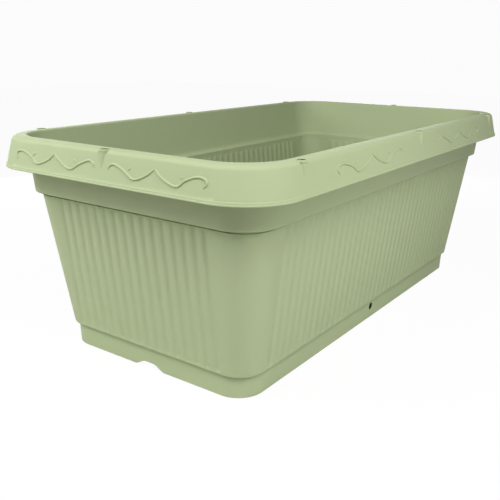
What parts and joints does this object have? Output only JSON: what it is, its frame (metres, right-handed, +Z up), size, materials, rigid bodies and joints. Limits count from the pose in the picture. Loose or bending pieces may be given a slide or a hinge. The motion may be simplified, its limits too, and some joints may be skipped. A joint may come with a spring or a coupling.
{
  "type": "self watering planter",
  "caption": "Rectangular fluted planter with a folded rim, a water reservoir under a lift-out soil platform, wicking cups, a capped fill tube and a float gauge.",
  "frame": {"origin": "on the ground under the middle of the trough", "axes": "+X along the length, -Y the long side with the open overflow hole, +Z up"},
  "size_m": [0.914, 0.51, 0.3385],
  "materials": {
    "sage_plastic": "satin, finely grained",
    "dark_plastic": "matt",
    "green_plastic": "matt",
    "black_rubber": "matt",
    "white_plastic": "matt",
    "red_plastic": "gloss",
    "clear_plastic": "clear",
    "pin_steel": "brushed"
  },
  "bodies": {
    "trough": {"trough": "sage_plastic"},
    "drain_plug": {"drain_plug": "dark_plastic", "plug_washer": "black_rubber"},
    "platform_left": {"platform_left": "dark_plastic", "left_legs": "dark_plastic"},
    "platform_right": {"platform_right": "dark_plastic", "right_legs": "dark_plastic", "gauge_tube": "green_plastic", "gauge_bush": "white_plastic", "gauge_cap": "clear_plastic"},
    "wick_cup_left": {"wick_cup_left": "green_plastic"},
    "wick_cup_right": {"wick_cup_right": "green_plastic"},
    "fill_tube": {"fill_tube": "sage_plastic", "fill_foot": "dark_plastic", "fill_collar": "sage_plastic", "cap_hinge_pin": "pin_steel"},
    "fill_cap": {"fill_cap": "sage_plastic"},
    "gauge_float": {"gauge_float": "white_plastic", "gauge_rod": "white_plastic", "gauge_flag": "red_plastic"}
  },
  "joints": [
    {"name": "platform_left_lift", "type": "slide", "parent": "trough", "child": "platform_left", "axis": [0, 0, 1], "range_m": [0, 0.35]},
    {"name": "platform_right_lift", "type": "slide", "parent": "trough", "child": "platform_right", "axis": [0, 0, 1], "range_m": [0, 0.35]},
    {"name": "wick_cup_left_lift", "type": "slide", "parent": "platform_left", "child": "wick_cup_left", "axis": [0, 0, 1], "range_m": [0, 0.06]},
    {"name": "wick_cup_right_lift", "type": "slide", "parent": "platform_right", "child": "wick_cup_right", "axis": [0, 0, 1], "range_m": [0, 0.06]},
    {"name": "fill_tube_lift", "type": "slide", "parent": "platform_left", "child": "fill_tube", "axis": [0, 0, 1], "range_m": [0, 0.1]},
    {"name": "fill_cap_hinge", "type": "hinge", "parent": "fill_tube", "child": "fill_cap", "pos_m": [-0.3643, -0.1324, 0.2975], "axis": [0, -1, 0], "range_deg": [0, 110]},
    {"name": "gauge_float_slide", "type": "slide", "parent": "platform_right", "child": "gauge_float", "axis": [0, 0, 1], "range_m": [0, 0.01]},
    {"name": "drain_plug_pull", "type": "slide", "parent": "trough", "child": "drain_plug", "axis": [0, 0.9996, -0.03], "range_m": [0, 0.02]}
  ]
}
